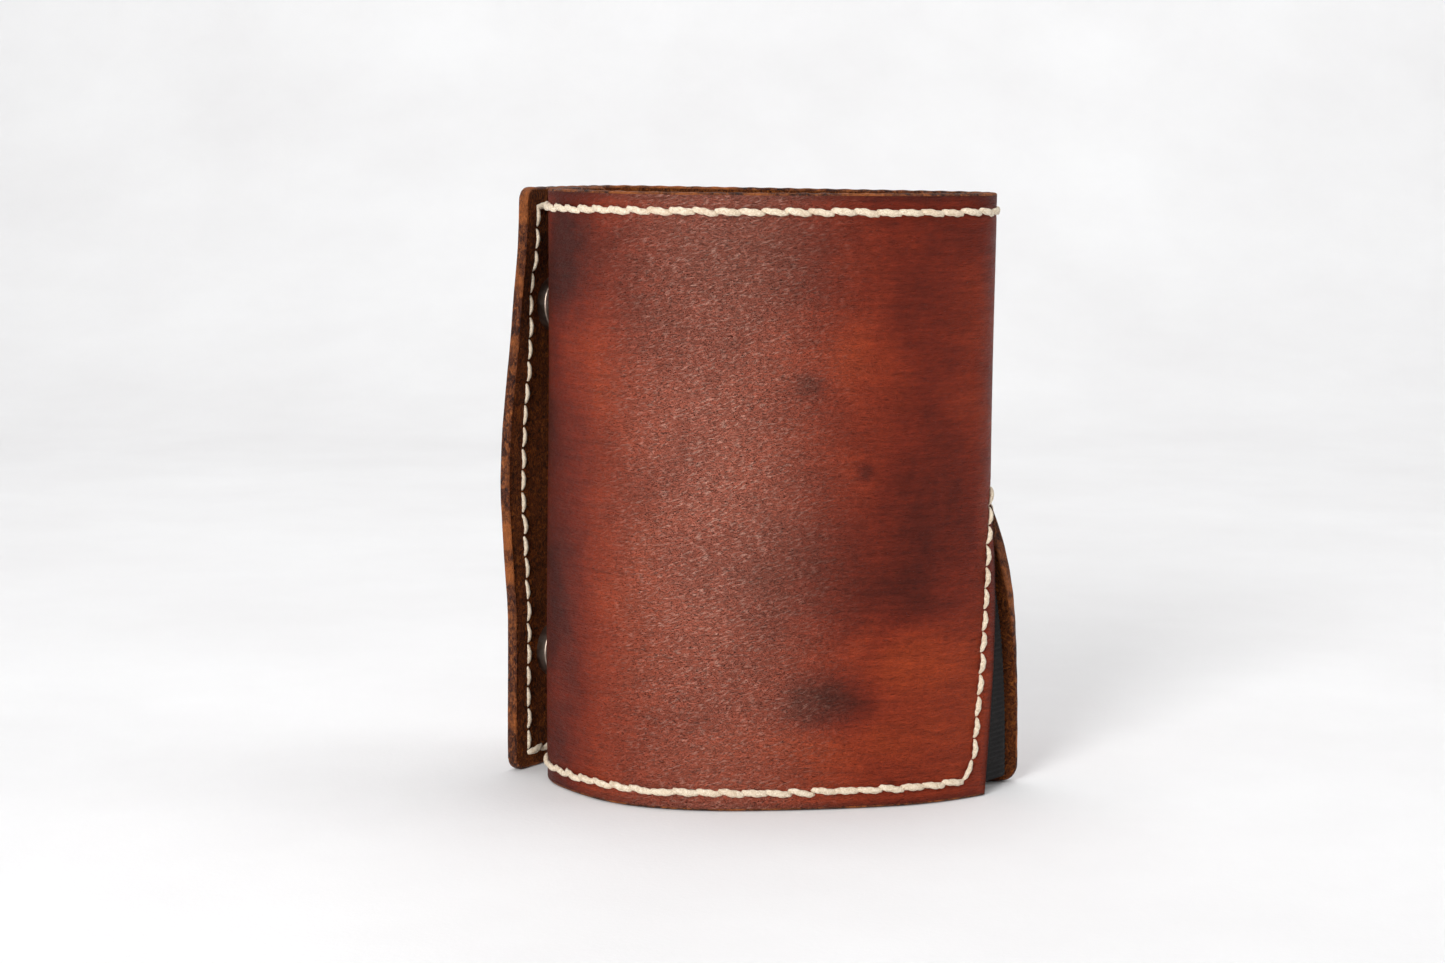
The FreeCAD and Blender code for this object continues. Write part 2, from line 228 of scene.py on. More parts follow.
TOP = HEIGHT - STITCH_INSET
BOTTOM = STITCH_INSET
FLAP_SEAM = STRIP_END - EDGE_INSET
APEX = (NOTCH_AT - 0.6, NOTCH_HEIGHT + 3.0)
FRONT_CORNER = (float(notch_front_edge(BOTTOM)) - EDGE_INSET, BOTTOM)
BACK_CORNER = (float(notch_back_edge(BOTTOM)) + EDGE_INSET, BOTTOM)
POCKET_SIDES = (POCKET_FROM + 3.0, POCKET_TO - 3.0)
SEAMS = {
    "front_top": ((TAB_INSET, TOP), (SEAM_AT, TOP)),
    "back_top": ((SEAM_AT, TOP), (FLAP_SEAM, TOP)),
    "flap_edge": ((FLAP_SEAM, TOP), (FLAP_SEAM, BOTTOM)),
    "back_bottom": ((FLAP_SEAM, BOTTOM), (SEAM_AT, BOTTOM)),
    "notch_back": ((SEAM_AT, BOTTOM), BACK_CORNER, (NOTCH_AT + 3.9, NOTCH_HEIGHT - 3.0), APEX),
    "notch_front": (APEX, (NOTCH_AT - 3.6, NOTCH_HEIGHT - 7.0), (FRONT_CORNER[0] + 0.7, BOTTOM + 3.6),
                    (FRONT_CORNER[0] - 1.6, BOTTOM)),
    "front_bottom": ((FRONT_CORNER[0] - 1.6, BOTTOM), (TAB_INSET, BOTTOM)),
    "tab_edge": ((TAB_INSET, BOTTOM), (TAB_INSET, TOP)),
    "pocket_right": ((POCKET_SIDES[0], POCKET_HEIGHT - 2.5), (POCKET_SIDES[0], BOTTOM)),
    "pocket_left": ((POCKET_SIDES[1], BOTTOM), (POCKET_SIDES[1], POCKET_HEIGHT - 2.5)),
}


def holes_along(corners):
    """Stitch holes along a seam, evenly spaced near the stitch length, with one at each corner."""
    holes = [corners[0]]
    for (s0, z0), (s1, z1) in zip(corners, corners[1:]):
        count = max(1, round(math.hypot(s1 - s0, z1 - z0) / STITCH))
        for step in range(1, count + 1):
            share = step / count
            holes.append((s0 + (s1 - s0) * share, z0 + (z1 - z0) * share))
    return np.array(holes)


HOLES = {name: holes_along(corners) for name, corners in SEAMS.items()}


SEAM_DENT = 0.16
HOLE_DENT = 0.42


def dent(s, z):
    """How far the leather is pulled in along the seams and at each hole."""
    result = np.zeros(np.shape(s))
    for name, holes in HOLES.items():
        low, high = holes.min(0) - 3.0, holes.max(0) + 3.0
        near = (s > low[0]) & (s < high[0]) & (z > low[1]) & (z < high[1])
        if not near.any():
            continue
        points = np.stack([s[near], z[near]], -1)
        pulled = np.zeros(len(points))
        for first, last in zip(holes, holes[1:]):
            along = last - first
            t = np.clip(((points - first) @ along) / (along @ along), 0, 1)
            apart = np.linalg.norm(points - first - t[:, None] * along, axis=1)
            pulled = np.maximum(pulled, SEAM_DENT * np.exp(-(apart / 0.75) ** 2))
        for hole in holes:
            apart = np.linalg.norm(points - hole, axis=1)
            pulled = np.maximum(pulled, HOLE_DENT * np.exp(-(apart / 0.6) ** 2))
        result[near] = np.maximum(result[near], pulled)
    return result


# ---------------------------------------------------------------- dye, a painted shade and a painted highlight on the flat strip

# Soft spots of the hand dyeing, the last six for the back and the flap:
# s, z, half size along s, half size along z, darkness (below 0 is bright)
DYE_AND_SHADE_SPOTS = [
    (92, 40, 14, 9, 0.85), (81, 18.5, 6.0, 3.8, 1.4), (78, 74.5, 1.9, 1.6, 0.9), (88, 59.0, 1.1, 1.1, 0.9),
    (90, 101, 26, 12, 0.55), (33, 95, 7, 7, 0.8), (77, 53, 8, 6, 0.5), (60, 97, 12, 9, 0.3),
    (98, 27, 8, 5, -0.9), (88, 12, 16, 3.0, -0.5), (35, 80, 6, 9, -0.4), (84, 80, 9, 5, -0.3),
    # The spot at s 27, z 50 is a painted shade: it darkens the front's left edge from top to bottom.
    (44, 30, 9, 14, -0.35), (70, 8, 12, 5, -0.35), (103, 62, 7, 16, 0.45), (27, 50, 8, 60, 0.95),
    (112, 20, 5, 20, -0.2), (60, 40, 8, 5, 0.25), (150, 60, 20, 18, 0.5), (185, 30, 16, 12, 0.5),
    (170, 85, 14, 9, -0.5), (205, 75, 6, 25, 0.35), (219, 40, 8, 14, -0.4), (135, 25, 14, 9, -0.5),
]


PLAIN_DYE = 0.5
DARKEST_DYE_AND_SHADE = 1.2
SPOT_EDGE = 1.35                    # 1 is a soft bell, more is a flatter spot with a quicker edge


def dye_and_shade(s, z):
    """Darkness of the dye, and of a painted shade down the front's left edge."""
    result = np.full(np.shape(s), PLAIN_DYE)
    for s0, z0, half_s, half_z, darkness in DYE_AND_SHADE_SPOTS:
        apart = ((s - s0) / half_s) ** 2 + ((z - z0) / half_z) ** 2
        result += 0.5 * darkness * np.exp(-(0.5 * apart) ** SPOT_EDGE)
    return np.clip(result, 0.0, DARKEST_DYE_AND_SHADE)


# Painted highlight zones: a broad paler band standing in for the light's reflection.
FRONT_PAINTED_HIGHLIGHT = (61.5, 16.5)          # its middle along the strip, and its half width
BACK_PAINTED_HIGHLIGHT = (165.0, 24.0)


def painted_highlight(s, z):
    """A painted highlight: the wrinkled, paler zone down the front's left half, and a weaker one on the back.
    """
    front_zone = np.exp(-(((s - FRONT_PAINTED_HIGHLIGHT[0]) / FRONT_PAINTED_HIGHLIGHT[1]) ** 2) ** 1.2)
    front_zone = front_zone * (0.75 + 0.25 * np.cos((z - 62) / 30))
    back_zone = 0.5 * np.exp(-((s - BACK_PAINTED_HIGHLIGHT[0]) / BACK_PAINTED_HIGHLIGHT[1]) ** 2)
    return np.clip(front_zone + back_zone, 0.0, 1.0)


# ---------------------------------------------------------------- mesh helpers

def store(mesh, name, values):
    """Keep a number at each vertex, for the materials."""
    mesh.attributes.new(name, "FLOAT", "POINT").data.foreach_set("value", values)


def make_mesh(name, points, faces, face_slots, materials, strip=None, edge=None):
    """A smooth-shaded mesh piece, with its place on the strip kept for the materials."""
    mesh = bpy.data.meshes.new(name)
    mesh.from_pydata([tuple(p) for p in points], [], faces)
    for material in materials:
        mesh.materials.append(material)
    mesh.polygons.foreach_set("material_index", face_slots)
    mesh.polygons.foreach_set("use_smooth", [True] * len(mesh.polygons))
    if strip is not None:
        places = mesh.attributes.new("strip", "FLOAT_VECTOR", "POINT")
        places.data.foreach_set("vector", (strip * MM).ravel())
    if edge is not None:
        store(mesh, "edge", edge)
        store(mesh, "dye_and_shade", dye_and_shade(strip[:, 0], strip[:, 1]))
        store(mesh, "painted_highlight", painted_highlight(strip[:, 0], strip[:, 1]))
    mesh.update()
    piece = bpy.data.objects.new(name, mesh)
    bpy.context.scene.collection.objects.link(piece)
    return piece


def spread(values, fine_zones, coarse, fine):
    """Grid lines from values[0] to values[-1], through every value, closer inside the fine zones."""
    lines = [values[0]]
    for low, high in zip(values, values[1:]):
        at = low
        while at < high - 1e-6:
            close = any(a - 1e-6 <= at < b - 1e-6 for a, b in fine_zones)
            at += fine if close else coarse
            lines.append(min(at, high))
        if len(lines) > 2 and lines[-1] - lines[-2] < 0.3 * fine:
            lines.pop(-2)
    return np.array(lines)


EDGE_REACH = 12.0                   # the furthest edge distance that is measured

# Round the cut edge, from grain to flesh: how far in from the edge, and the depth
EDGE_PROFILE = [(0.42, 0.0), (0.22, 0.04), (0.07, 0.2), (0.0, 0.55), (-0.02, 1.0),
                (0.0, 1.45), (0.07, 1.8), (0.22, 1.96), (0.42, 2.0)]


class Sheet:
    """A leather sheet on the strip: a grid on the grain side, one on the flesh side, rounded edges."""

    def __init__(self, thickness=LEATHER, lift=0.0, flesh_dents=True):
        self.thickness = thickness
        self.lift = lift
        self.flesh_dents = flesh_dents
        self.places = []
        self.sides = []
        self.faces = []

    def add_block(self, s_lines, z_lines, side, warp, shared=None):
        """Add a grid of places. shared maps a row to the index used for its first column."""
        index = np.zeros((len(s_lines), len(z_lines)), int)
        for i, s in enumerate(s_lines):
            for j, z in enumerate(z_lines):
                if i == 0 and shared is not None and j in shared:
                    index[i, j] = shared[j]
                    continue
                index[i, j] = len(self.places)
                self.places.append(warp(s, z))
                self.sides.append(side)
        for i in range(len(s_lines) - 1):
            for j in range(len(z_lines) - 1):
                self.faces.append((index[i, j], index[i + 1, j], index[i + 1, j + 1], index[i, j + 1]))
        return index

    def finish(self, name, loop, plain, materials):
        """Close the sheet round its boundary loop. plain holds the loop places on a hidden end."""
        places = np.array(self.places, float)
        sides = np.array(self.sides)
        ring = places[loop]
        before, after = np.roll(ring, 1, 0), np.roll(ring, -1, 0)
        plain_here = np.array([i in plain for i in loop])
        plain_before = plain_here & np.roll(plain_here, 1)
        plain_after = plain_here & np.roll(plain_here, -1)

        def normal(a, b):
            along = b - a
            out = np.stack([along[:, 1], -along[:, 0]], -1)
            return out / np.maximum(np.linalg.norm(out, axis=1, keepdims=True), 1e-9)

        first = normal(before, ring) * ~plain_before[:, None]
        second = normal(ring, after) * ~plain_after[:, None]
        total = first + second
        size = np.linalg.norm(total, axis=1, keepdims=True)
        out = total / np.maximum(size, 1e-9)
        meet = np.clip((out * np.where(plain_before[:, None], second, first)).sum(1, keepdims=True), 0.6, 1.0)
        out = np.where(size > 1e-6, out / meet, 0.0)

        inset = places.copy()
        inset[loop] = ring - out * EDGE_PROFILE[0][0]
        edge = self.edge_distance(inset, ring[~plain_here])
        grain_depth = dent(inset[:, 0], inset[:, 1]) if self.lift == 0 else np.zeros(len(inset))
        flesh_dent = 0.6 * dent(inset[:, 0], inset[:, 1]) if self.flesh_dents else np.zeros(len(inset))
        layers = [(inset, self.lift + grain_depth), (inset, self.lift + self.thickness - flesh_dent)]
        count = len(places)
        points = [surface_by_side(layer, depth, sides) for layer, depth in layers]
        strips = [np.column_stack([layer, depth]) for layer, depth in layers]
        edges = [edge, edge]
        faces = [tuple(face) for face in self.faces]
        slots = [0] * len(faces)
        faces += [tuple(i + count for i in reversed(face)) for face in self.faces]
        slots += [1] * len(self.faces)
        rows = [list(loop)]
        for pull, depth in EDGE_PROFILE[1:-1]:
            uneven = 0.05 * np.sin(ring[:, 0] * 1.7) * np.sin(ring[:, 1] * 1.3 + depth)
            layer = ring - out * (pull + uneven[:, None])
            deep = np.full(len(layer), self.lift + depth * self.thickness / LEATHER)
            start = sum(len(p) for p in points)
            rows.append(list(range(start, start + len(loop))))
            points.append(surface_by_side(layer, deep, sides[loop]))
            strips.append(np.column_stack([layer, deep]))
            edges.append(np.zeros(len(loop)))
        rows.append([i + count for i in loop])
        for upper, lower in zip(rows, rows[1:]):
            for k in range(len(loop)):
                nxt = (k + 1) % len(loop)
                faces.append((upper[nxt], upper[k], lower[k], lower[nxt]))
                slots.append(2)
        return make_mesh(name, np.concatenate(points), faces, slots, materials,
                         np.concatenate(strips), np.concatenate(edges))

    @staticmethod
    def edge_distance(places, ring):
        """Distance of each place from the sheet's cut edges, in millimetres, up to a limit."""
        nearest = np.full(len(places), EDGE_REACH)
        for start in range(0, len(ring), 64):
            apart = np.linalg.norm(places[:, None] - ring[None, start:start + 64], axis=2).min(1)
            nearest = np.minimum(nearest, apart)
        return nearest


def surface_by_side(layer, depth, sides):
    front = surface(layer[:, 0], layer[:, 1], depth, "front")
    back = surface(layer[:, 0], layer[:, 1], depth, "back")
    return np.where((sides == "back")[:, None], back, front)


def rounded_corner(s, z, corner, inward, up, radius):
    """Move a place in the corner's square onto the rounded corner."""
    a = radius - (s - corner[0]) * inward
    b = radius - (z - corner[1]) * up
    if a <= 0.0 or b <= 0.0:
        return s, z
    scale = max(a, b) / math.hypot(a, b)
    return corner[0] + (radius - a * scale) * inward, corner[1] + (radius - b * scale) * up


def rounded(s, z, end):
    """Round the two corners at one end of the strip."""
    inward = 1 if end < 1 else -1
    s, z = rounded_corner(s, z, (end, 0.0), inward, 1, CORNER_RADIUS)
    return rounded_corner(s, z, (end, HEIGHT), inward, -1, CORNER_RADIUS)


# ---------------------------------------------------------------- materials

class Shader:
    """Short names for building one procedural material."""

    def __init__(self, name):
        self.material = bpy.data.materials.new(name)
        self.material.use_nodes = True
        self.nodes = self.material.node_tree.nodes
        self.links = self.material.node_tree.links
        self.bsdf = self.nodes["Principled BSDF"]

    def node(self, kind, **values):
        node = self.nodes.new(kind)
        for key, value in values.items():
            setattr(node, key, value)
        return node

    def link(self, source, target):
        self.links.new(source, target)

    def feed(self, value, socket):
        """Give a socket a number, a colour or another node's output."""
        if isinstance(value, (float, int)):
            socket.default_value = value
        elif isinstance(value, tuple):
            socket.default_value = value + (1.0,)
        else:
            self.link(value, socket)

    def strip(self, scale=(1.0, 1.0, 1.0), slant=0.0):
        """The place on the strip, in metres, turned by a slant in degrees, then stretched by a scale."""
        attribute = self.node("ShaderNodeAttribute", attribute_name="strip")
        vector = attribute.outputs["Vector"]
        for turn, stretch in ((slant, (1.0, 1.0, 1.0)), (0.0, scale)):
            mapping = self.node("ShaderNodeMapping")
            mapping.inputs["Rotation"].default_value = (0.0, 0.0, math.radians(turn))
            mapping.inputs["Scale"].default_value = stretch
            self.link(vector, mapping.inputs["Vector"])
            vector = mapping.outputs["Vector"]
        return vector

    def attribute(self, name):
        return self.node("ShaderNodeAttribute", attribute_name=name).outputs["Fac"]

    def noise(self, vector, scale, detail=4.0, roughness=0.55, distortion=0.0):
        noise = self.node("ShaderNodeTexNoise")
        noise.inputs["Scale"].default_value = scale
        noise.inputs["Detail"].default_value = detail
        noise.inputs["Roughness"].default_value = roughness
        noise.inputs["Distortion"].default_value = distortion
        self.link(vector, noise.inputs["Vector"])
        return noise.outputs["Fac"]

    def cells(self, vector, scale):
        cells = self.node("ShaderNodeTexVoronoi", feature="F1")
        cells.inputs["Scale"].default_value = scale
        self.link(vector, cells.inputs["Vector"])
        return cells.outputs["Distance"]

    def ramp(self, value, *stops):
        """A value remapped between stops of (place, colour or grey)."""
        ramp = self.node("ShaderNodeValToRGB")
        elements = ramp.color_ramp.elements
        while len(elements) < len(stops):
            elements.new(0.5)
        for element, (place, colour) in zip(elements, stops):
            element.position = place
            element.color = (colour,) * 3 + (1.0,) if isinstance(colour, float) else tuple(colour) + (1.0,)
        self.link(value, ramp.inputs["Fac"])
        return ramp.outputs["Color"]

    def mix(self, factor, a, b, blend="MIX"):
        mix = self.node("ShaderNodeMix", data_type="RGBA", blend_type=blend)
        self.feed(factor, mix.inputs[0])
        self.feed(a, mix.inputs[6])
        self.feed(b, mix.inputs[7])
        return mix.outputs[2]

    def maths(self, operation, a, b):
        node = self.node("ShaderNodeMath", operation=operation)
        self.feed(a, node.inputs[0])
        self.feed(b, node.inputs[1])
        return node.outputs[0]

    def times(self, a, b):
        return self.maths("MULTIPLY", a, b)

    def plus(self, a, b):
        return self.maths("ADD", a, b)

    def bump(self, *layers):
        """Stacked bump layers of (height, strength, distance in metres)."""
        normal = None
        for height, strength, distance in layers:
            bump = self.node("ShaderNodeBump")
            bump.inputs["Strength"].default_value = strength
            bump.inputs["Distance"].default_value = distance
            self.link(height, bump.inputs["Height"])
            if normal is not None:
                self.link(normal, bump.inputs["Normal"])
            normal = bump.outputs["Normal"]
        self.link(normal, self.bsdf.inputs["Normal"])

    def finish(self, colour, roughness, **constants):
        """Set the colour and roughness, and the constants on their own sockets."""
        self.feed(colour, self.bsdf.inputs["Base Color"])
        self.feed(roughness, self.bsdf.inputs["Roughness"])
        for name, value in constants.items():
            self.bsdf.inputs[name.replace("_", " ")].default_value = value
        return self.material


DYE_COLOURS = ((0.22, (0.085, 0.0120, 0.0062)), (0.44, (0.225, 0.0250, 0.0095)),
               (0.60, (0.340, 0.0410, 0.0130)), (0.80, (0.450, 0.0600, 0.0150)))
BURNISHED = (0.040, 0.0085, 0.0060)
# Painted highlight colours: the pale zone, and the paler glints on its wrinkle tips.
PAINTED_HIGHLIGHT_COLOUR = (0.64, 0.240, 0.165)
PAINTED_GLINT_COLOUR = (0.95, 0.580, 0.460)


def dyed_and_shaded_colour(sh, clouds):
    """Mottled red-brown, brushed along the strip, darker where the dye and the painted shade are and at the
    cut edges.
    """
    tone = sh.maths("SUBTRACT", sh.times(clouds, 0.75), sh.times(sh.attribute("dye_and_shade"), 0.55))
    base = sh.ramp(sh.plus(tone, 0.47), *DYE_COLOURS)
    brushing = sh.noise(sh.strip((1.0, 9.0, 1.0)), 110.0, 5.0, 0.65)
    base = sh.mix(0.75, base, sh.ramp(brushing, (0.3, 0.55), (0.7, 1.15)), "MULTIPLY")
    fine = sh.noise(sh.strip((1.0, 3.0, 1.0)), 700.0, 4.0, 0.65)
    base = sh.mix(0.6, base, sh.ramp(fine, (0.32, 0.55), (0.68, 1.1)), "MULTIPLY")
    rim = sh.plus(sh.attribute("edge"), sh.times(sh.noise(sh.strip(), 160.0), 1.6))
    rim = sh.ramp(sh.maths("DIVIDE", rim, 6.0), (0.12, 0.8), (0.42, 0.0))
    return sh.mix(rim, base, BURNISHED)


def grain_leather(name, brightness=1.0):
    """Waxed, hand-dyed leather, with a painted highlight: a paler zone of slanting wrinkles with pale painted
    glints.
    """
    sh = Shader(name)
    place = sh.strip()
    clouds = sh.noise(place, 42.0, 6.0, 0.65, 0.5)
    base = dyed_and_shaded_colour(sh, clouds)
    # Mask of the painted highlight zone. It also deepens the wrinkles' bump there.
    highlight_mask = sh.times(sh.attribute("painted_highlight"), sh.ramp(clouds, (0.35, 0.75), (0.60, 1.0)))
    wrinkles = sh.noise(sh.strip((1.0, 3.4, 1.0), -18.0), 820.0, 3.0, 0.50, 0.20)
    rows = sh.noise(sh.strip((1.0, 2.6, 1.0), -20.0), 190.0, 3.0, 0.5)
    # Painted glints: pale flecks on the wrinkle tips, in rows inside the painted highlight zone.
    highlight_rows = sh.times(highlight_mask, sh.ramp(rows, (0.36, 0.35), (0.62, 1.0)))
    painted_glints = sh.times(sh.ramp(wrinkles, (0.50, 0.0), (0.66, 1.0)), highlight_rows)
    base = sh.mix(sh.times(highlight_mask, 0.44), base, PAINTED_HIGHLIGHT_COLOUR)
    base = sh.mix(sh.times(painted_glints, 0.50), base, PAINTED_GLINT_COLOUR)
    if brightness != 1.0:
        base = sh.mix(1.0, base, (brightness,) * 3, "MULTIPLY")
    relief = sh.times(wrinkles, sh.plus(sh.times(highlight_mask, 0.8), 0.2))
    scuffs = sh.noise(sh.strip((1.0, 7.0, 1.0)), 420.0, 5.0, 0.65)
    pores = sh.ramp(sh.cells(place, 1900.0), (0.05, 0.0), (0.22, 1.0))
    sh.bump((relief, 1.0, 0.0026), (scuffs, 1.0, 0.0009), (pores, 0.5, 0.0003))
    shine = sh.noise(place, 260.0, 4.0, 0.6)
    dullness = sh.plus(sh.times(shine, 0.6), sh.times(wrinkles, 0.4))
    roughness = sh.ramp(dullness, (0.35, 0.36), (0.68, 0.52))
    return sh.finish(base, roughness, Specular_IOR_Level=0.12)


def flesh_leather(name):
    """The rough inner side: dark brown suede with orange fibres."""
    sh = Shader(name)
    place = sh.strip()
    fibres = sh.noise(sh.strip((1.0, 0.7, 1.0)), 1300.0, 6.0, 0.7, 1.8)
    clumps = sh.noise(place, 240.0, 5.0, 0.65, 0.6)
    base = sh.ramp(fibres, (0.36, (0.026, 0.0060, 0.0018)), (0.50, (0.210, 0.044, 0.0085)),
                   (0.64, (0.56, 0.160, 0.026)))
    base = sh.mix(0.6, base, sh.ramp(clumps, (0.3, 0.45), (0.7, 1.0)), "MULTIPLY")
    sh.bump((clumps, 1.0, 0.0030), (fibres, 1.0, 0.0020))
    return sh.finish(base, 0.93, Specular_IOR_Level=0.12, Sheen_Weight=0.10, Sheen_Roughness=0.5,
                     Sheen_Tint=(0.9, 0.45, 0.20, 1.0))


def edge_leather(name):
    """The cut edge: layered fibres, burnished dark with orange showing through."""
    sh = Shader(name)
    layers = sh.noise(sh.strip((0.8, 0.8, 1.6)), 1300.0, 5.0, 0.68, 0.8)
    worn = sh.noise(sh.strip(), 130.0, 5.0, 0.65)
    base = sh.ramp(layers, (0.38, (0.020, 0.0060, 0.0030)), (0.52, (0.130, 0.032, 0.0100)),
                   (0.66, (0.42, 0.130, 0.034)))
    base = sh.mix(sh.ramp(worn, (0.47, 0.0), (0.60, 0.75)), base, (0.52, 0.150, 0.034))
    sh.bump((layers, 1.0, 0.0016), (worn, 1.0, 0.0020))
    return sh.finish(base, sh.ramp(worn, (0.3, 0.45), (0.7, 0.75)), Specular_IOR_Level=0.25)


def thread_material():
    """Cream waxed linen, with fine lay lines and a little dirt."""
    sh = Shader("waxed_thread")
    strands = sh.noise(sh.strip(), 2600.0, 4.0, 0.65, 1.0)
    stains = sh.noise(sh.strip(), 190.0, 4.0, 0.6)
    base = sh.ramp(strands, (0.28, (0.42, 0.30, 0.19)), (0.5, (0.70, 0.58, 0.43)), (0.72, (0.88, 0.79, 0.65)))
    base = sh.mix(sh.ramp(stains, (0.5, 0.0), (0.75, 0.45)), base, (0.47, 0.28, 0.16))
    sh.bump((strands, 0.6, 0.00012))
    return sh.finish(base, 0.62, Specular_IOR_Level=0.35, Sheen_Weight=0.15)


def elastic_material():
    """Black woven elastic: cross threads on ribs, slightly dusty."""
    sh = Shader("black_elastic")
    weave = sh.noise(sh.strip((1.0, 5.0, 1.0)), 1700.0, 3.0, 0.6)
    dust = sh.noise(sh.strip(), 420.0, 5.0, 0.7)
    base = sh.ramp(weave, (0.3, (0.003, 0.003, 0.003)), (0.7, (0.014, 0.012, 0.012)))
    base = sh.mix(sh.ramp(dust, (0.58, 0.0), (0.8, 0.35)), base, (0.10, 0.075, 0.065))
    sh.bump((weave, 0.7, 0.00012))
    return sh.finish(base, 0.75, Specular_IOR_Level=0.2, Sheen_Weight=0.04, Sheen_Roughness=0.4)


def metal_material():
    """Dulled nickel with fine scratches and a warm tarnish."""
    sh = Shader("snap_nickel")
    coordinate = sh.node("ShaderNodeTexCoord").outputs["Object"]
    tarnish = sh.noise(coordinate, 420.0, 5.0, 0.6)
    scratches = sh.noise(coordinate, 3000.0, 3.0, 0.7, 2.0)
    base = sh.ramp(tarnish, (0.35, (0.20, 0.14, 0.105)), (0.65, (0.40, 0.33, 0.28)))
    sh.bump((scratches, 0.12, 0.00004))
    return sh.finish(base, sh.ramp(tarnish, (0.3, 0.28), (0.7, 0.42)), Metallic=1.0)


GRAIN = grain_leather("grain_leather")
FLESH = flesh_leather("flesh_leather")
EDGE = edge_leather("edge_leather")
POCKET = grain_leather("pocket_leather", 0.75)
THREAD = thread_material()
ELASTIC = elastic_material()
NICKEL = metal_material()

# ---------------------------------------------------------------- leather pieces

SEAM_ZONES = [(1.2, 5.2), (HEIGHT - 5.2, HEIGHT - 1.2)]
ALONG_STEP = 0.66                   # the grid's steps along the strip and up it
UP_STEP = 1.1
SEAM_STEP = 0.4                     # both, along the seams
FLAP_SEAM_STEP = 0.45
POCKET_STEP = 0.8
POCKET_SEAM_STEP = 0.5


def z_lines():
    """The grid's heights, closer together along the level seams."""
    return spread([0.0, NOTCH_HEIGHT, HEIGHT], SEAM_ZONES, UP_STEP, SEAM_STEP)


def boundary(grid):
    """The indices round a grid's edge, in order."""
    return list(grid[:, 0]) + list(grid[-1, 1:]) + list(grid[:-1, -1][::-1]) + list(grid[0, 1:-1][::-1])


def front_leather():
    """The tab, the front, the right fold with its notch, and the back's first stretch."""
    sheet = Sheet()
    rows = z_lines()
    # Between here and the notch, the grid's columns lean over to follow its sloping edges
    bend = NOTCH_AT - 26.0
    back_bend = FOLD_END + 2.0

    def front_warp(s, z):
        if s > bend:
            s = bend + (s - bend) * (float(notch_front_edge(z)) - bend) / (NOTCH_AT - bend)
        return rounded(s, z, 0.0)

    def back_warp(s, z):
        if s < back_bend:
            start = float(notch_back_edge(z))
            s = start + (s - NOTCH_AT) * (back_bend - start) / (back_bend - NOTCH_AT)
        return rounded_corner(s, z, (float(notch_back_edge(z)), 0.0), 1, 1, FLARE_CORNER_RADIUS)

    columns = spread([0.0, NOTCH_AT], [(1.0, 4.5)], ALONG_STEP, SEAM_STEP)
    left = sheet.add_block(columns, rows, "front", front_warp)
    apex = int(np.argmin(abs(rows - NOTCH_HEIGHT)))
    shared = {j: left[-1, j] for j in range(apex, len(rows))}
    columns = spread([NOTCH_AT, back_bend, SEAM_AT], [], ALONG_STEP, ALONG_STEP)
    right = sheet.add_block(columns, rows, "back", back_warp, shared)
    loop = list(left[:, 0]) + list(left[-1, 1:apex + 1]) + list(right[0, :apex][::-1])
    loop += list(right[1:, 0]) + list(right[-1, 1:]) + list(right[:-1, -1][::-1])
    loop += list(left[:-1, -1][::-1]) + list(left[0, 1:-1][::-1])
    return sheet.finish("front_leather", loop, set(right[-1, :].tolist()), [GRAIN, FLESH, EDGE])


def flap_leather():
    """The rest of the back, the left fold and the flap."""
    sheet = Sheet()
    rows = z_lines()
    flap_end = [(STRIP_END - 6.0, STRIP_END)]
    columns = spread([SEAM_AT, STRIP_END], flap_end, ALONG_STEP, FLAP_SEAM_STEP)
    grid = sheet.add_block(columns, rows, "back", lambda s, z: rounded(s, z, STRIP_END))
    loop = boundary(grid)
    return sheet.finish("flap_leather", loop, set(grid[0, :].tolist()), [GRAIN, FLESH, EDGE])


def pocket_leather():
    """The thin card pocket inside the back."""
    sheet = Sheet(POCKET_LEATHER, POCKET_LIFT, False)
    rows = spread([1.0, POCKET_HEIGHT], [(1.2, 5.2)], UP_STEP, POCKET_SEAM_STEP)
    columns = spread([POCKET_FROM, POCKET_TO], [], POCKET_STEP, POCKET_STEP)

    def thumb_cut(s, z):
        """The mouth's shallow dip, so that a card can be pushed up."""
        middle = (POCKET_FROM + POCKET_TO) / 2
        dip = POCKET_DIP * math.exp(-((s - middle) / POCKET_DIP_WIDTH) ** 2)
        return s, z - dip * max(0.0, (z - POCKET_DIP_FROM) / (POCKET_HEIGHT - POCKET_DIP_FROM))

    grid = sheet.add_block(columns, rows, "back", thumb_cut)
    loop = boundary(grid)
    return sheet.finish("card_pocket_leather", loop, set(), [FLESH, POCKET, EDGE])


def bend_front(piece):
    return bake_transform(piece)


def bend_flap(piece):
    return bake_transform(piece)


front = front_leather()
bend_front(front)
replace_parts(front, "front_panel")

flap = flap_leather()
bend_flap(flap)
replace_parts(flap, "back_panel", "flap_panel")

pocket = pocket_leather()
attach(pocket, "back")
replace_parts(pocket, "card_pocket")

# ---------------------------------------------------------------- stitching

RINGS = 15
AROUND = 12


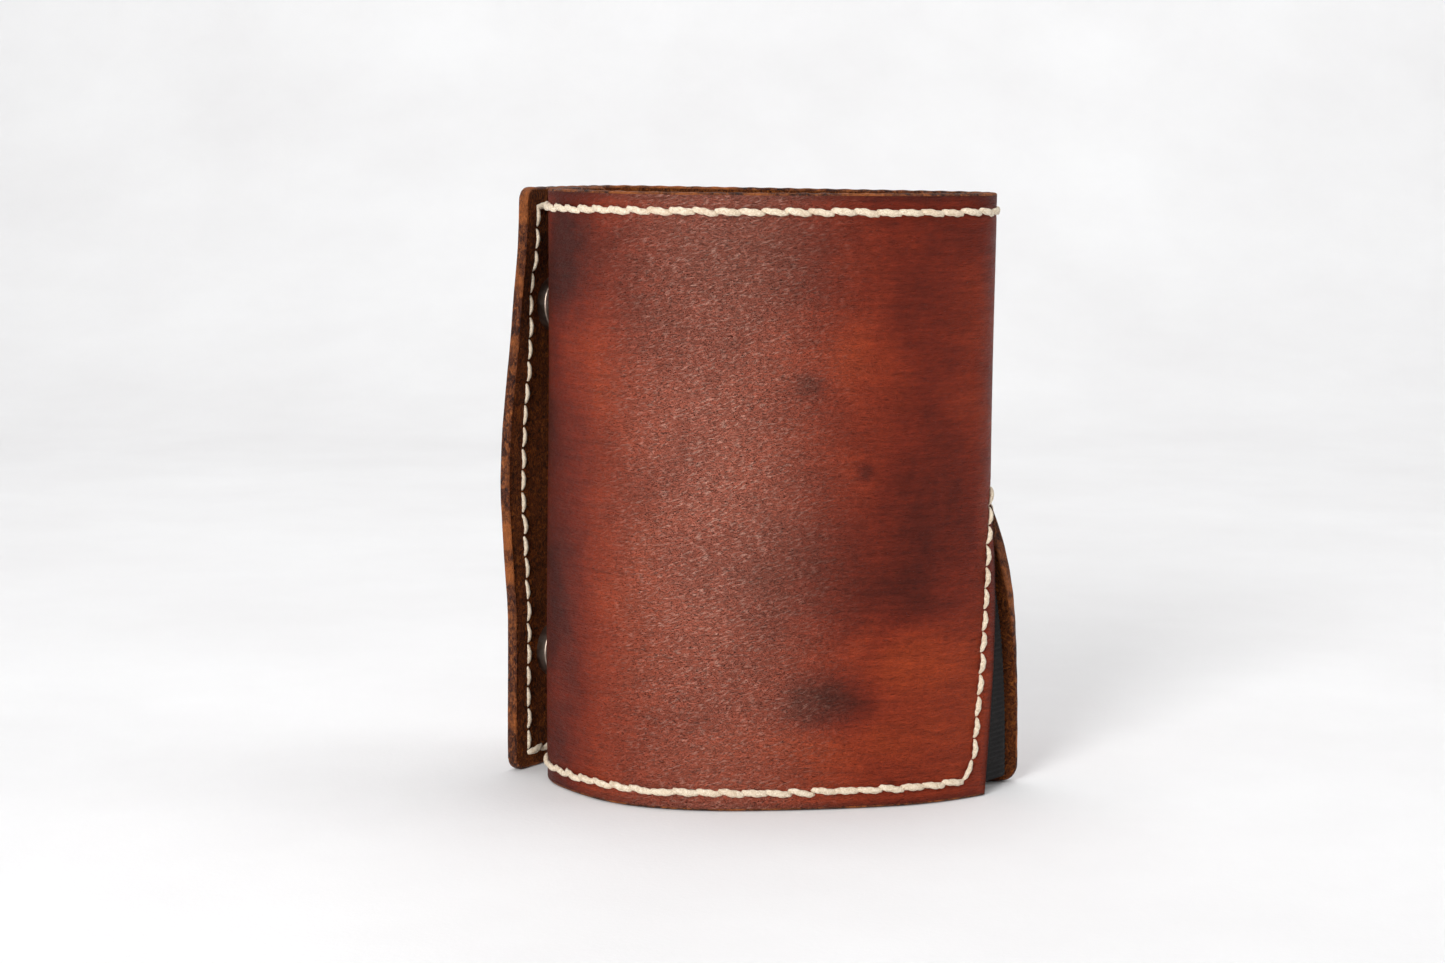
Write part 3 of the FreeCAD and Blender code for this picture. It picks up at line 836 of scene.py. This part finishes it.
def stitch_tube(first, last, outside, base_depth, side, radius_here, rope):
    """One stitch: a twisted three-ply thread from hole to hole, standing proud in the middle."""
    along = last - first
    length = np.linalg.norm(along)
    across = np.array([-along[1], along[0]]) / length
    t = np.linspace(0.0, 1.0, RINGS)[:, None]
    angle = np.linspace(0.0, 2 * math.pi, AROUND, endpoint=False)[None, :]
    rise = np.sin(math.pi * t) ** 0.55
    lean = (0.24 if rope else 0.04) + (0.10 if rope else 0.06) * random.standard_normal()
    slant = lean * np.cos(math.pi * t) + 0.06 * random.standard_normal()
    thin, thick = (0.48, 0.54) if rope else (0.26, 0.76)
    twist = 2 * math.pi * 0.9 * t + random.uniform(0, 2 * math.pi)
    radius = radius_here * (thin + thick * rise) * (1 + 0.13 * np.cos(3 * (angle - twist)))
    radius = radius * random.uniform(0.94, 1.08)
    sideways = slant + radius * np.cos(angle) * 1.08
    height = -0.38 + (0.62 + 0.08 * random.standard_normal()) * rise + radius * np.sin(angle) * 0.82
    overlap = -0.10 + 1.20 * t if rope else 0.01 + 0.98 * t
    s = first[0] + along[0] * overlap + across[0] * sideways
    z = first[1] + along[1] * overlap + across[1] * sideways
    depth = base_depth - height if outside else base_depth + height
    points = surface(s, z, depth, side).reshape(-1, 3)
    strip = np.stack([s, z, np.broadcast_to(depth, s.shape)], -1).reshape(-1, 3)
    faces = []
    for ring in range(RINGS - 1):
        for k in range(AROUND):
            nxt = (k + 1) % AROUND
            here, beyond = ring * AROUND, (ring + 1) * AROUND
            quad = (here + k, here + nxt, beyond + nxt, beyond + k)
            faces.append(quad if outside else quad[::-1])
    ends = (tuple(range(AROUND))[::-1], tuple(range((RINGS - 1) * AROUND, RINGS * AROUND)))
    faces += [end if outside else end[::-1] for end in ends]
    return points, strip, faces


def flesh_depth(seam, place):
    """Where the thread lies on the inner side: over the pocket or the elastic sewn in with it."""
    if seam.startswith("notch"):
        return LEATHER + ELASTIC_GAP + ELASTIC_THICKNESS
    in_pocket = POCKET_FROM - 0.5 < place[0] < POCKET_TO + 0.5 and place[1] < POCKET_HEIGHT
    return POCKET_LIFT + POCKET_LEATHER if in_pocket else LEATHER


def thread_piece(name, seams):
    """All the stitches of some seams, on both sides of the leather, as one piece."""
    points, strips, faces = [], [], []
    count = 0
    for seam in seams:
        holes = HOLES[seam]
        rope = seam.endswith(("top", "bottom"))
        slimness = {"flap_edge": 0.74}.get(seam, 1.0 if rope else 0.86)
        radius = THREAD_RADIUS * slimness
        for first, last in zip(holes, holes[1:]):
            side = "back" if first[0] + last[0] > 2 * NOTCH_AT else "front"
            for outside in (True, False):
                depth = 0.0 if outside else flesh_depth(seam, (first + last) / 2)
                new_points, strip, new_faces = stitch_tube(first, last, outside, depth, side, radius, rope)
                points.append(new_points)
                strips.append(strip)
                faces += [tuple(i + count for i in face) for face in new_faces]
                count += len(new_points)
    piece = make_mesh(name, np.concatenate(points), faces, [0] * len(faces), [THREAD], np.concatenate(strips))
    return piece


front_top = thread_piece("front_top_thread", ["front_top"])
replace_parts(bend_front(front_top), "front_top_stitching")
back_top = thread_piece("back_top_thread", ["back_top"])
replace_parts(bend_flap(back_top), "back_top_stitching", "flap_top_stitching")
flap_edge = thread_piece("flap_edge_thread", ["flap_edge"])
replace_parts(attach(flap_edge, "flap"), "flap_edge_stitching")
back_bottom = thread_piece("back_bottom_thread", ["back_bottom"])
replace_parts(bend_flap(back_bottom), "back_bottom_stitching", "flap_bottom_stitching")
notch_back = thread_piece("notch_back_thread", ["notch_back"])
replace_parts(bend_front(notch_back), "notch_back_stitching")
notch_front = thread_piece("notch_front_thread", ["notch_front"])
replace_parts(bend_front(notch_front), "notch_front_stitching")
front_bottom = thread_piece("front_bottom_thread", ["front_bottom"])
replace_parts(bend_front(front_bottom), "front_bottom_stitching")
tab_edge = thread_piece("tab_edge_thread", ["tab_edge"])
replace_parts(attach(tab_edge, "front"), "tab_edge_stitching")
pocket_sides = thread_piece("pocket_side_thread", ["pocket_right", "pocket_left"])
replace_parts(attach(pocket_sides, "back"), "pocket_side_stitching")

# ---------------------------------------------------------------- elastic gusset

def curve_through(points, steps):
    """A Catmull-Rom curve through plan points, with evenly many steps on each span."""
    padded = [2 * points[0] - points[1]] + points + [2 * points[-1] - points[-2]]
    line = []
    for a, b, c, d in zip(padded, padded[1:], padded[2:], padded[3:]):
        for t in np.linspace(0, 1, steps, endpoint=False):
            line.append(0.5 * (2 * b + (c - a) * t + (2 * a - 5 * b + 4 * c - d) * t ** 2
                               + (3 * b - a - 3 * c + d) * t ** 3))
    return np.array(line + [points[-1]])


def elastic_line(z):
    """The elastic's middle line at one height, from behind the front to behind the back."""
    depth = LEATHER + ELASTIC_GAP + ELASTIC_THICKNESS / 2
    at_front, at_back = float(notch_front_edge(z)), float(notch_back_edge(z))
    front_points = [surface(at_front - back, z, depth, "front") for back in (ELASTIC_BEHIND, 3.5, 0.8)]
    back_points = [surface(at_back + back, z, depth, "back") for back in (2.8, 4.8, ELASTIC_BEHIND)]
    mouth = (front_points[-1] + back_points[0]) / 2
    chord = back_points[0] - front_points[-1]
    width = np.linalg.norm(chord)
    mouth = mouth + np.array([chord[1], -chord[0], 0.0]) / max(width, 1e-9) * (ELASTIC_BOW * width)
    return curve_through(front_points + [mouth] + back_points, 4)


def elastic_gusset():
    heights = np.arange(ELASTIC_LOW, ELASTIC_HIGH, RIB_PITCH / 5)
    lines = np.array([elastic_line(z) for z in heights])
    across = np.gradient(lines, axis=1)
    out = np.stack([across[..., 1], -across[..., 0], np.zeros(across.shape[:2])], -1)
    out /= np.linalg.norm(out, axis=-1, keepdims=True)
    ribs = RIB_HEIGHT * abs(np.sin(math.pi * heights / RIB_PITCH)) - RIB_SINK
    half = (ELASTIC_THICKNESS / 2 + ribs[:, None, None]) * MM
    outer, inner = lines + out * half, lines - out * half
    rows, columns = lines.shape[:2]
    points = np.concatenate([outer.reshape(-1, 3), inner.reshape(-1, 3)])
    count = rows * columns
    index = np.arange(count).reshape(rows, columns)
    faces = []
    for j in range(rows - 1):
        for i in range(columns - 1):
            quad = (index[j, i], index[j, i + 1], index[j + 1, i + 1], index[j + 1, i])
            faces += [quad, tuple(k + count for k in reversed(quad))]
    ring = list(index[0, :]) + list(index[1:, -1]) + list(index[-1, :-1][::-1]) + list(index[1:-1, 0][::-1])
    for k, here in enumerate(ring):
        nxt = ring[(k + 1) % len(ring)]
        faces.append((nxt, here, here + count, nxt + count))
    width = np.linspace(0, WEAVE_SPAN, columns)[None, :] * np.ones((rows, 1))
    strip = np.stack([width, heights[:, None] * np.ones((1, columns)), np.zeros((rows, columns))], -1)
    strip = np.concatenate([strip.reshape(-1, 3)] * 2)
    faces = [tuple(int(k) for k in face) for face in faces]
    return make_mesh("ribbed_elastic", points, faces, [0] * len(faces), [ELASTIC], strip)


elastic = elastic_gusset()
bend_front(elastic)
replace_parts(elastic, "elastic_gusset")

# ---------------------------------------------------------------- snap fasteners

TURN_STEPS = 64


def turned(name, profile, at, height):
    """A turned metal part from (radius, height) points, standing outwards on the grain surface."""
    base = surface(at, height, 0.0)
    out = Vector(surface(at, height, -1.0) - base).normalized()
    up = Vector((0, 0, 1))
    along = up.cross(out).normalized()
    angles = np.linspace(0, 2 * math.pi, TURN_STEPS, endpoint=False)
    points, faces = [], []
    for radius, rise in profile:
        for angle in angles:
            sideways = along * math.cos(angle) + up * math.sin(angle)
            points.append(Vector(base) + sideways * radius * MM + out * rise * MM)
    for ring in range(len(profile) - 1):
        for k in range(TURN_STEPS):
            nxt = (k + 1) % TURN_STEPS
            a, b = ring * TURN_STEPS, (ring + 1) * TURN_STEPS
            faces.append((b + k, b + nxt, a + nxt, a + k))
    last = (len(profile) - 1) * TURN_STEPS
    faces.append(tuple(range(last, last + TURN_STEPS)))
    faces.append(tuple(range(TURN_STEPS))[::-1])
    piece = make_mesh(name, points, faces, [0] * len(faces), [NICKEL])
    return piece


def rounded_profile(corners, radius=0.18, steps=4):
    """Profile points with every inner corner rounded by a small curve."""
    corners = [np.array(c, float) for c in corners]
    profile = [corners[0]]
    for a, b, c in zip(corners, corners[1:], corners[2:]):
        reach = min(radius, 0.45 * np.linalg.norm(a - b), 0.45 * np.linalg.norm(c - b))
        first = b + (a - b) / np.linalg.norm(a - b) * reach
        last = b + (c - b) / np.linalg.norm(c - b) * reach
        for t in np.linspace(0, 1, steps):
            profile.append((1 - t) ** 2 * first + 2 * t * (1 - t) * b + t ** 2 * last)
    profile.append(corners[-1])
    return profile


FLESH_SIDE = -LEATHER
CAP = [(6.0 * math.cos(a), -0.05 + 1.4 * math.sin(a)) for a in np.linspace(0.05, math.pi / 2 - 0.02, 14)]
CAP = [(2.0, FLESH_SIDE - 0.4), (2.0, -0.12), (5.8, -0.12)] + CAP
SOCKET = rounded_profile([(2.05, -2.02), (5.15, -2.02), (5.15, -4.05), (4.55, -4.6), (3.6, -4.6), (3.1, -4.2),
                          (3.1, -2.75), (2.05, -2.7)])
STUD = rounded_profile([(1.2, 0.02), (4.7, 0.02), (4.7, 0.4), (4.2, 0.62), (2.35, 0.66),
                        (2.25, 1.05), (2.6, 1.4), (2.5, 1.8), (1.9, 2.15), (1.3, 2.2)])
POST = rounded_profile([(1.1, 1.9), (1.1, -0.1), (2.0, -0.2), (2.0, -2.02), (4.6, -2.02), (4.55, -2.4),
                        (3.6, -2.65), (1.2, -2.75)])

for level, height in SNAP_HEIGHTS.items():
    for kind, profile, at, body, order in (("cap", CAP, FLAP_SNAP_AT, "flap", 1),
                                           ("socket", SOCKET, FLAP_SNAP_AT, "flap", 1),
                                           ("stud", STUD, TAB_SNAP_AT, "front", 1),
                                           ("post", POST, TAB_SNAP_AT, "front", -1)):
        name = level + "_snap_" + kind
        metal = turned(name + "_metal", profile[::order], at, height)
        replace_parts(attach(metal, body), name)

# ---------------------------------------------------------------- floor, light and camera

FLOOR_HALF = 1.5
SWEEP_FROM = 0.5                    # where the floor starts to rise, behind the holder
SWEEP_RADIUS = 0.5
SWEEP_TOP = 2.2
FLOOR_GAP = 0.0001                  # just under the leather's lowest point


def floor():
    """A pale sweep: flat under the holder, rising smoothly far behind it."""
    profile = [(-FLOOR_HALF, 0.0), (SWEEP_FROM, 0.0)]
    for angle in np.linspace(0.1, math.pi / 2, 12):
        behind = SWEEP_FROM + SWEEP_RADIUS * math.sin(angle)
        profile.append((behind, SWEEP_RADIUS - SWEEP_RADIUS * math.cos(angle)))
    profile.append((SWEEP_FROM + SWEEP_RADIUS, SWEEP_TOP))
    points = [(x, y, z - FLOOR_GAP) for y, z in profile for x in (-FLOOR_HALF, FLOOR_HALF)]
    faces = [(2 * k, 2 * k + 1, 2 * k + 3, 2 * k + 2) for k in range(len(profile) - 1)]
    sh = Shader("pale_floor")
    place = sh.node("ShaderNodeTexCoord").outputs["Object"]
    shade = sh.noise(place, 9.0, 5.0, 0.6)
    colour = sh.ramp(shade, (0.3, (0.80, 0.795, 0.80)), (0.7, (0.86, 0.86, 0.865)))
    sh.bump((sh.noise(place, 900.0, 3.0, 0.6), 0.25, 0.0002))
    return make_mesh("floor", points, faces, [0] * len(faces), [sh.finish(colour, 0.85)])


floor()


def area_light(name, place, target, size, power):
    """A white softbox at a place, aimed at a target."""
    data = bpy.data.lights.new(name, "AREA")
    data.shape = "RECTANGLE"
    data.size, data.size_y = size
    data.energy = power
    light = bpy.data.objects.new(name, data)
    light.location = place
    light.rotation_euler = (Vector(target) - Vector(place)).to_track_quat("-Z", "Y").to_euler()
    bpy.context.scene.collection.objects.link(light)


MIDDLE = (0.0, 0.0, 0.05)
BACKDROP = (0.0, 1.0, 0.4)
WORLD_STRENGTH = 0.20
area_light("key_softbox", (-0.40, -0.88, 0.42), MIDDLE, (0.30, 0.8), 10.5)
area_light("side_softbox", (0.95, -0.10, 0.45), MIDDLE, (0.4, 0.9), 2.2)
area_light("top_softbox", (0.0, 0.0, 1.1), MIDDLE, (1.2, 1.2), 3.8)
area_light("back_softbox", (0.1, 0.2, 1.2), BACKDROP, (1.2, 0.6), 6.2)

world = bpy.data.worlds.new("studio")
world.use_nodes = True
background = world.node_tree.nodes["Background"]
background.inputs["Color"].default_value = (1.0, 1.0, 1.0, 1.0)
background.inputs["Strength"].default_value = WORLD_STRENGTH
bpy.context.scene.world = world
bpy.context.scene.view_settings.view_transform = "Standard"

CAMERA_DISTANCE = 0.457             # from the front's nearest point
CAMERA_ABOVE_TOP = 0.0105
CAMERA_X = -0.00744
CAMERA_DOWN = math.radians(7.42)
CAMERA_ROLL = math.radians(0.5)
CAMERA_LENS = 67.3

camera_data = bpy.data.cameras.new("camera")
camera_data.sensor_width = 36.0
camera_data.lens = CAMERA_LENS
camera_data.clip_start = 0.01
camera = bpy.data.objects.new("camera", camera_data)
front_low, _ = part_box("front_panel")
camera.location = (CAMERA_X, front_low.y - CAMERA_DISTANCE, HEIGHT * MM + CAMERA_ABOVE_TOP)
tilt = Euler((math.pi / 2 - CAMERA_DOWN, 0.0, 0.0)).to_matrix()
roll = Euler((0.0, 0.0, CAMERA_ROLL)).to_matrix()
camera.rotation_euler = (tilt @ roll).to_euler()
bpy.context.scene.collection.objects.link(camera)
bpy.context.scene.camera = camera
